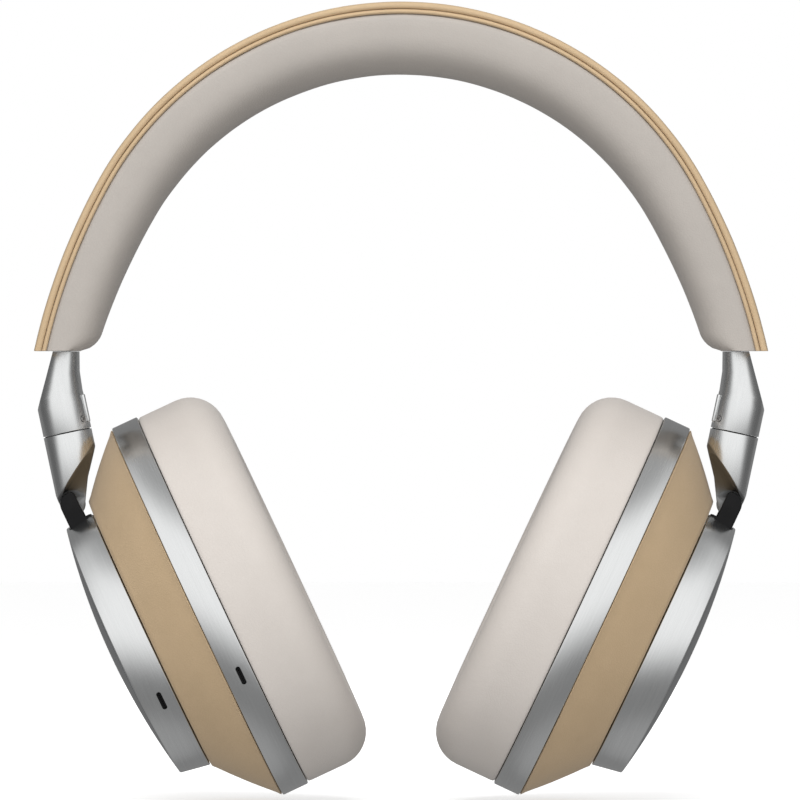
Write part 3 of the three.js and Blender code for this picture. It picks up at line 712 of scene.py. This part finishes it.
def cushion_shape():
    """The ring of padding: two rounds of leather, the wider one outside."""
    wide, outside, inside = CUP_HALF - 0.4, 9.0, 5.0
    profile = [(EAR_HALF + 1.5, 0.1), (40, 0.1), (wide - 0.35, 0.1), (wide - 0.05, 0.5), (wide, 1.2)]
    profile += [(wide, s) for s in (2.5, 4.5, 6.5, 8.5)]
    profile += arc(wide - outside, CUSHION - outside, outside, 0, 90, steps=9)
    profile += arc(EAR_HALF + inside, CUSHION - inside, inside, 90, 180, steps=7)
    profile += [(EAR_HALF, s) for s in (11.5, 8.5, 5.5, 2.5)]
    return oval(turned(profile, 150))


def inner_ring_shape(cutters):
    """The wider metal ring, with the openings of its buttons and socket."""
    inside = CUP_HALF - WALL
    profile = [(inside, -RING_DEPTH), (CUP_HALF, -RING_DEPTH), (CUP_HALF, -SEAM), (inside, -SEAM)]
    ring = oval(soften(turned(profile, 180), 0.3, 2))
    return cut(ring, cutters) if cutters else ring


def screw_bore():
    """The bracket screw's hole through the block and the cup's body, and the recess for its head."""
    height = PIVOT[1] - 7.25
    hole = bar(SCREW_RADIUS, -31.0, -14.0, "X", sides=24)
    recess = bar(SCREW_RECESS, -31.0, -24.3, "X", sides=24)
    return [moved(hole, (0, 0, height)), moved(recess, (0, 0, height))]


def body_shape():
    """The tan cone, a little full between the two metal rings."""
    near, far = (CUP_HALF - 0.3, -RING_DEPTH - SEAM), (BODY_END, BODY_FAR)
    cone, fullness, steps = [], 0.22, 12
    for i in range(1, steps):
        t = i / steps
        full = fullness * math.sin(math.pi * t)
        cone.append((near[0] + (far[0] - near[0]) * t + full, near[1] + (far[1] - near[1]) * t - full))
    mouth, inside, hub, floor = 47.4, 33.85, 12, far[1] + 1.8
    profile = [(mouth, near[1]), (near[0] - 0.35, near[1]), (near[0] - 0.02, near[1] - 0.25)] + cone
    profile += [(far[0] + 0.25, far[1] + 0.1), (far[0] - 0.25, far[1])]
    profile += [(hub, far[1]), (hub, floor), (inside, floor)]
    body = soften_leather(oval(turned(profile, 160)), amount=0.05, spread=11, seed=5)
    return cut(body, screw_bore())


def outer_ring_shape(cutters):
    """The narrower metal ring, which leans in to the dome, with a notch for the hinge block."""
    far, top = OUTER_HALF - OUTER_TAPER, DOME[0]
    profile = [
        (OUTER_HALF - WALL, OUTER_NEAR), (OUTER_HALF, OUTER_NEAR), (far, top), (far - RING_LIP, top),
        (far - RING_LIP, top + PLATE_SEAT), (far - WALL, top + PLATE_SEAT),
    ]
    ring = oval(soften(turned(profile, 180), 0.3, 3), OUTER_DROP)
    domed(ring, lambda x: (x - OUTER_NEAR) / (top - OUTER_NEAR))
    across = BRACKET_HALF + GAP
    notch = box((-27.1, -across, PIVOT[1] - 12.25), (-19.3, across, 45))
    return cut(ring, [notch, *cutters])


def end_plate_shape():
    """The domed plate in the outer ring's lip."""
    rim, top, steps, thick = OUTER_HALF - OUTER_TAPER - RING_LIP - SEAM, DOME[0], 12, 0.9
    profile = [(rim * i / steps, top) for i in range(steps)]
    profile += [(rim - 0.5, top), (rim - 0.15, top + 0.08), (rim, top + 0.3)]
    profile += [(rim, top + thick), (0, top + thick)]
    return domed(oval(turned(profile, 160, closed=False), OUTER_DROP))


def bracket_shape():
    """The black hinge block: a foot in the outer ring's notch and two ears round the yoke's tongue."""
    x, z = PIVOT
    foot_low, flat = z - 10.75, x + 1.5  # each ear is a D, flat where it would show past the yoke
    foot = soften(box((-26.8, -BRACKET_HALF, foot_low), (-20.7, BRACKET_HALF, z - EAR_RADIUS - 0.9)), 0.5, 3)
    joined = []
    for side in (-1, 1):
        low, high = sorted((side * EAR_GAP, side * BRACKET_HALF))
        outline = [(x - EAR_RADIUS, foot_low + 2), (flat, foot_low + 2), (flat, z + 2.2)]
        outline += arc(x, z, EAR_RADIUS, 70, 180, steps=14)
        joined.append(soften(slab(outline, low, high), 0.35, 2, 50))
    block = cut(foot, joined, "UNION")
    return cut(block, [moved(bar(1.25, -5.1, 5.1, "Y", sides=32), (x, 0, z)), *screw_bore()])


def button_shape(i):
    """A long button, with a wider flange that keeps it in."""
    cap = capsule(*BUTTON, -2.7, 0.5, round_by=0.32)
    flange = capsule(*BUTTON_FLANGE, -3.1, -2.5)
    return on_rim(cut(cap, [flange], "UNION"), button_angle(i), BUTTON_DEPTH)


def mic_shape(mic):
    """A dark grille of seven small holes, let into its slot."""
    angle, depth, half, drop = mic
    plate = capsule(*MIC_PLATE, -1.8, -0.9, round_by=0.06)
    holes = [moved(bar(MIC_HOLE, -1.4, 0.5, "X", sides=12), (0, 0, MIC_PITCH * i)) for i in range(-3, 4)]
    return on_rim(cut(plate, holes), angle, depth, half, drop)


def port_shape():
    """A charging socket: a thin oval shell and the contact tongue in it."""
    shell = cut(capsule(*PORT, -7.0, -0.6, round_by=0.12), [capsule(*PORT_INSIDE, -6.4, 1.0)])
    tongue = soften(box((-6.5, -0.35, -3.1), (-1.6, 0.35, 3.1)), 0.1, 2)
    return on_rim(cut(shell, [tongue], "UNION"), PORT_ANGLE, BUTTON_DEPTH)


def make_cup(side):
    """The visible pieces of one ear cup."""
    def piece(bm, name, nodes, material, slot, crease=40, body=f"{side}_cup"):
        return finish_piece(bm, name, body, nodes, material, slot, CUP, side, crease)

    right = side == "right"
    steps = {"volume_up": 1, "multifunction": 0, "volume_down": -1} if right else {"action": 0}
    openings = [
        on_rim(capsule(*BUTTON_ROOM, -4, 4), button_angle(i), BUTTON_DEPTH) for i in steps.values()
    ]
    outer = []
    if right:
        openings.append(on_rim(capsule(*PORT_ROOM, -4, 4), PORT_ANGLE, BUTTON_DEPTH))
        openings.append(on_rim(capsule(*MIC_SLOT, -5, 4), *MIC_IN))
        outer.append(on_rim(capsule(*MIC_SLOT, -5, 4), *MIC_OUT))
    ring, metal = inner_ring_shape(openings), "satin_metal"
    piece(ring, f"{side}_inner_metal_ring", [f"{side}_inner_ring"], RING_METAL, metal)
    piece(body_shape(), f"{side}_leather_cup_body", [f"{side}_cup_body"], TAN, "tan_leather", 50)
    ring = outer_ring_shape(outer)
    piece(ring, f"{side}_outer_metal_ring", [f"{side}_outer_ring"], RING_METAL, metal)
    piece(end_plate_shape(), f"{side}_domed_end_plate", [f"{side}_end_plate"], PLATE_METAL, metal, 50)
    piece(bracket_shape(), f"{side}_black_hinge_block", [f"{side}_hinge_bracket"], BLACK, "black_plastic")
    edge = EAR_HALF + 0.5
    grille = oval(turned([(0, 0.2), (edge, 0.2), (edge, 0.75), (0, 0.75)], 96, closed=False))
    piece(grille, f"{side}_speaker_cloth", [f"{side}_ear_grille"], CLOTH, "speaker_cloth")
    cushion = piece(
        cushion_shape(), f"{side}_leather_ear_cushion", [f"{side}_ear_cushion"], PALE, "pale_leather", 60,
    )
    back, sewn = (SIDES[side] @ CUP).inverted(), 1.2  # the leather is held where it is sewn to the ring
    filled(cushion, lambda p: (back @ (p * MM)).x < sewn, pressure=4.0, most=0.7)
    for name, i in steps.items():
        button = f"{name}_button"
        piece(button_shape(i), f"{name}_metal_button", [button], RING_METAL, metal, body=button)
    if right:
        piece(port_shape(), "charging_socket_shell", ["charging_socket"], BLACK, "black_plastic")
        piece(mic_shape(MIC_IN), "inner_microphone_grille", ["inner_microphone"], BLACK, "black_plastic")
        piece(mic_shape(MIC_OUT), "outer_microphone_grille", ["outer_microphone"], BLACK, "black_plastic")


# Arms and yokes -----------------------------------------------------------------------------------------
ARM_HALF, ARM_WIDTH = 6.1, 7.0  # half across and half front to back
PARTING = 0.15  # half the gap between arm and yoke
SQUARE = 0.85  # the arm's section is an oval with fuller corners
PIN_RADIUS, PIN_ROOM = 2.2, 0.3  # the swivel pin, and its room in the yoke and the washer
TONGUE, SCOOP, EAR_ROOM = 2.5, 6.0, 3.5  # half the yoke's tongue, the scoops' round, the room for the ears
WASHER = 4.3  # the friction washer's radius
PLATE_HALF, PLATE_LOW, PLATE_HIGH = 3.6, 1.6, 8.6  # the arm's inner cover plate
SET_SCREW, SCREW_HALF = (4.7, -5.1, 2.6), 0.8
RAIL, RAIL_END, RAIL_ROOM = (1.0, 5.0), -6, 0.15  # half its thickness and width, its low end, its room


def column(levels):
    """A rounded column through levels of (z, left, right, half width)."""
    low, high = levels[0][0], levels[-1][0]
    bm = bar(1.0, low, high, "Z", 72)
    for level in levels[1:-1]:
        bmesh.ops.bisect_plane(
            bm, geom=bm.verts[:] + bm.edges[:] + bm.faces[:], dist=MERGE,
            plane_co=(0, 0, level[0]), plane_no=(0, 0, 1),
        )
    for v in bm.verts:
        under, over = next((a, b) for a, b in zip(levels, levels[1:]) if v.co.z <= b[0] + 1e-3)
        t = min(1.0, max(0.0, (v.co.z - under[0]) / (over[0] - under[0])))
        left, right, half = (a + (b - a) * t for a, b in zip(under[1:], over[1:]))
        across, wide = (math.copysign(abs(c) ** SQUARE, c) for c in v.co.xy)
        v.co.x, v.co.y = (left + right) / 2 + across * (right - left) / 2, half * wide
    return mended(bm)


def sliced(bm, through, outward):
    """Takes away what is beyond a plane, and closes the cut."""
    made = bmesh.ops.bisect_plane(
        bm, geom=bm.verts[:] + bm.edges[:] + bm.faces[:], dist=MERGE,
        plane_co=through, plane_no=outward, clear_outer=True,
    )
    bmesh.ops.contextual_create(bm, geom=[e for e in made["geom_cut"] if isinstance(e, bmesh.types.BMEdge)])
    return mended(bm)


def arm_shape():
    """The arm: straight at the swivel, sliced off outside, narrow under the headband, with its pockets."""
    t, w = ARM_HALF, ARM_WIDTH
    body = column([
        (PARTING, -t, t, w), (6.9, -t, t, w), (9.6, -5.7, 5.9, w - 0.3), (14.4, -3.3, 6.2, w - 0.9),
        (21.5, 0.2, 7.6, w - 1.2), (25.5, 2.2, 9.2, w - 1.2),
    ])
    soften(sliced(body, (-t, 0, 7.0), Vector((-14.5, 0, 7.3)).normalized()), 0.45, 3, sharper=24)
    to_arm = ARM.inverted()
    top = to_arm @ Vector((-0.08, 0, (-BAND_DROP - SEAM) * MM))
    sliced(body, top, (to_arm.to_3x3() @ Vector((0, 0, 1))).normalized())
    thick, wide = (size + RAIL_ROOM for size in RAIL)
    rail = box((-thick, -wide, RAIL_END - RAIL_ROOM), (thick, wide, 6))
    bmesh.ops.transform(rail, matrix=to_arm @ SLIDE, verts=rail.verts[:])
    room = PLATE_HALF + 0.05
    plate = box((5.35, -room, PLATE_LOW - 0.05), (9.4, room, PLATE_HIGH + 0.05))
    return cut(body, [rail, bar(PIN_RADIUS + 0.1, -1, 9.5), plate, screw_pocket()])


def into_arm(bm):
    """Turns an upright bar into the arm's wall at the set screw's place."""
    x, y, z = SET_SCREW
    inward = Vector((-x / ARM_HALF ** 2, 1 / 9.6, 0))
    turn = Vector((0, 0, 1)).rotation_difference(inward.normalized()).to_matrix()
    bmesh.ops.rotate(bm, matrix=turn, verts=bm.verts[:])
    return moved(bm, (x, y, z))


def screw_pocket():
    """The set screw's room in the arm."""
    return into_arm(bar(SCREW_HALF + 0.1, -1.2, 3.2, sides=24))


def set_screw():
    """A small screw with a hexagonal socket."""
    socket = bar(0.42, -1, 0.5, sides=6)
    return into_arm(cut(bar(SCREW_HALF, -0.1, 3.2, sides=24), [socket]))


def scoop_tool(side):
    """What is taken off one side of the yoke: a hollow that leaves the tongue standing in the middle."""
    turn = Matrix.Rotation(math.radians(-45), 3, "Y")
    far, deep = 20, -30  # well past the yoke
    outline = [(TONGUE, deep), *arc(TONGUE + SCOOP, -SCOOP, SCOOP, 180, 90, steps=14), (far, 0), (far, deep)]
    bm = slab([(side * y, z) for y, z in outline], -far, far, "X")
    bmesh.ops.rotate(bm, matrix=turn, verts=bm.verts[:])
    return mended(moved(bm, (SCOOP_EDGE[0], 0, SCOOP_EDGE[1])))


def yoke_shape():
    """The yoke: the arm's section carried down to a rounded tongue, with a scoop on both sides of it."""
    t = ARM_HALF
    x, z = TILT_PIN
    low = arc(x, z, EAR_RADIUS, 180, 360, steps=20)
    outline = [(t, -PARTING), (-t, -PARTING), (-t, z + 3), *low, (x + 5, -11.9), (t, -4.6)]
    body = column([(z - EAR_RADIUS - 1, -t, t, ARM_WIDTH), (-PARTING, -t, t, ARM_WIDTH)])
    shape = soften(cut(body, [slab(outline, -10, 10)], "INTERSECT"), 0.4, 3, 40)
    ears = []
    for side in (-1, 1):
        a, b = sorted((side * TONGUE, side * 10))
        ears.append(moved(bar(EAR_ROOM, a, b, "Y"), (x, 0, z)))
    shape = soften(cut(shape, [scoop_tool(-1), scoop_tool(1), *ears]), 0.25, 2, 40)
    lip_room = column([(-0.45, -5.9, 5.9, 6.8), (1, -5.9, 5.9, 6.8)])
    washer_room, pin_room = bar(WASHER + 0.3, -1.35, 1), bar(PIN_RADIUS + PIN_ROOM, -7.8, 1, sides=32)
    return cut(shape, [lip_room, washer_room, pin_room, moved(bar(1.5, -10, 10, "Y", sides=32), (x, 0, z))])


def rail_shape():
    """The sliding rail, with a row of notches for the detent spring along one edge."""
    thick, wide = RAIL
    rail = soften(box((-thick, -wide, RAIL_END), (thick, wide, 39)), 0.25, 2)
    first, pitch = 3, 3.5
    notches = [moved(bar(0.7, -2, 2, "X", sides=20), (0, wide, first + pitch * i)) for i in range(8)]
    return cut(rail, notches)


def washer_shape():
    """The friction washer, with a thin lip that fills the parting line."""
    lip = column([(-0.3, -5.7, 5.7, 6.6), (0.1, -5.7, 5.7, 6.6)])
    seat = cut(bar(WASHER, -1.05, -0.2), [lip], "UNION")
    return cut(seat, [bar(PIN_RADIUS + PIN_ROOM, -2, 2, sides=32)])


def make_arm(side):
    """The visible pieces of one arm and yoke."""
    def piece(bm, name, body, node, material, slot, place=ARM, crease=40):
        nodes = [f"{side}_{node}"]
        return finish_piece(bm, name, f"{side}_{body}", nodes, material, slot, place, side, crease)

    x, z = TILT_PIN
    piece(washer_shape(), f"{side}_hinge_washer", "yoke", "friction_washer", BLACK, "black_plastic")
    piece(arm_shape(), f"{side}_metal_arm", "arm", "arm", ARM_METAL, "satin_metal", crease=30)
    plate = soften(box((5.4, -PLATE_HALF, PLATE_LOW), (6.16, PLATE_HALF, PLATE_HIGH)), 0.25, 3)
    piece(plate, f"{side}_hinge_cover_plate", "arm", "hinge_cover", ARM_METAL, "satin_metal")
    piece(set_screw(), f"{side}_socket_set_screw", "arm", "set_screw", PIN_STEEL, "steel")
    piece(yoke_shape(), f"{side}_metal_yoke", "yoke", "yoke", YOKE_METAL_WITH_PAINTED_SHADE, "satin_metal", crease=30)
    pin = soften(moved(bar(1.2, -5.0, 5.0, "Y", sides=40), (x, 0, z)), 0.2, 2)
    piece(pin, f"{side}_hinge_pin", "yoke", "tilt_pin", BLACK, "steel")
    piece(rail_shape(), f"{side}_notched_rail", "arm", "slide_rail", RAIL_STEEL, "steel", SLIDE)


make_headband()
for side_name in SIDES:
    make_cup(side_name)
    make_arm(side_name)

# The inner parts keep the solid model's shapes, with finishes of their own.
INNER = {
    "headband_spring": STEEL, "link_cable": BLACK_ROW, "battery": GREY,
    **{f"{s}_{n}": m for s in SIDES for n, m in {
        "slide_guide": BLACK_ROW, "detent_spring": STEEL, "swivel_pin": STEEL,
        "bracket_screw": STEEL, "baffle": BLACK_ROW, "driver_frame": BLACK_ROW, "driver_magnet": STEEL,
        "driver_diaphragm": DARK_CLOTH, "circuit_board": BOARD,
    }.items()},
}
for node_name, material in INNER.items():
    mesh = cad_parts[node_name].data
    mesh.materials.clear()
    mesh.materials.append(material)


# Stage, light and camera --------------------------------------------------------------------------------
FLOOR_HEIGHT, FLOOR_HALF = -0.1815, 4
LIT = Vector((0, 0, -0.08))  # the object's middle
CAMERA_PLACE, CAMERA_LENS, SENSOR_WIDTH = (-0.00025, -3.33, -0.08125), 600, 36


def studio_floor():
    """A plain white floor just under the ear cups. It takes their shadow and sends no light back."""
    f = Finish("white studio floor", roughness=0.9, specular=0.05, emission_strength=0.55)
    fibre = f.noise(f.place(False), 40.0, 3.0)
    f.give(base_color=f.mix(fibre, (0.9, 0.9, 0.9, 1), (0.93, 0.93, 0.93, 1)), emission_color=(1, 1, 1, 1))
    bm = bmesh.new()
    bmesh.ops.create_grid(bm, x_segments=2, y_segments=2, size=FLOOR_HALF)
    floor = loose(moved(bm, (0, 0, FLOOR_HEIGHT)), "studio_floor")
    floor.data.materials.append(f.material)
    floor.visible_glossy = floor.visible_diffuse = floor.visible_shadow = False


def studio_world():
    """White to the camera; to the surfaces, bright in front and weak behind, below and at the sides."""
    world = bpy.data.worlds.new("studio")
    bpy.context.scene.world = world
    world.use_nodes = True
    tree = world.node_tree
    ground = tree.nodes["Background"]
    glow = tree.nodes.new("ShaderNodeBackground")
    glow.inputs["Color"].default_value = (1, 1, 1, 1)
    path = tree.nodes.new("ShaderNodeLightPath")
    mix = tree.nodes.new("ShaderNodeMixShader")
    split = tree.nodes.new("ShaderNodeSeparateXYZ")
    tree.links.new(tree.nodes.new("ShaderNodeTexCoord").outputs["Generated"], split.inputs["Vector"])
    x, y, z = (Value(split.outputs[axis]) for axis in "XYZ")
    window = z.step(-0.55, 0.05) * (1 - z.step(0.55, 0.92) * 0.8)
    front = 1 - y.step(-0.05, 0.45)
    side = x.size().step(0.6, 1.0)
    below = (z * -1.0).step(0.75, 1.0)
    strength = 0.24 - side * 0.13 + window * front * (1 - side * 0.95) * 0.82 + below * 0.12
    tree.links.new(strength.socket, ground.inputs["Strength"])
    ground.inputs["Color"].default_value = (1, 1, 1, 1)
    tree.links.new(path.outputs["Is Camera Ray"], mix.inputs["Fac"])
    tree.links.new(ground.outputs[0], mix.inputs[1])
    tree.links.new(glow.outputs[0], mix.inputs[2])
    tree.links.new(mix.outputs[0], tree.nodes["World Output"].inputs["Surface"])


def area_light(name, place, size, power):
    """A soft light that faces the middle of the object and makes no highlight of its own."""
    data = bpy.data.lights.new(name, "AREA")
    data.shape, data.size, data.size_y, data.energy = "RECTANGLE", size[0], size[1], power
    light = bpy.data.objects.new(name, data)
    light.location = place
    light.visible_glossy = False
    light.rotation_euler = (LIT - Vector(place)).to_track_quat("-Z", "Y").to_euler()
    bpy.context.scene.collection.objects.link(light)


studio_floor()
studio_world()
area_light("key", (-0.1, -0.9, 0.9), (0.9, 0.6), 11)
area_light("low fill", (0, -0.9, -0.8), (0.9, 0.5), 3)
area_light("rear fill", (0.2, 1.3, 0.4), (0.9, 0.6), 4)

camera_data = bpy.data.cameras.new("camera")
camera_data.lens, camera_data.sensor_width = CAMERA_LENS, SENSOR_WIDTH
camera = bpy.data.objects.new("camera", camera_data)
camera.location = CAMERA_PLACE
camera.rotation_euler = (math.pi / 2, 0, 0)
bpy.context.scene.collection.objects.link(camera)
bpy.context.scene.camera = camera
bpy.context.scene.view_settings.view_transform = "Standard"
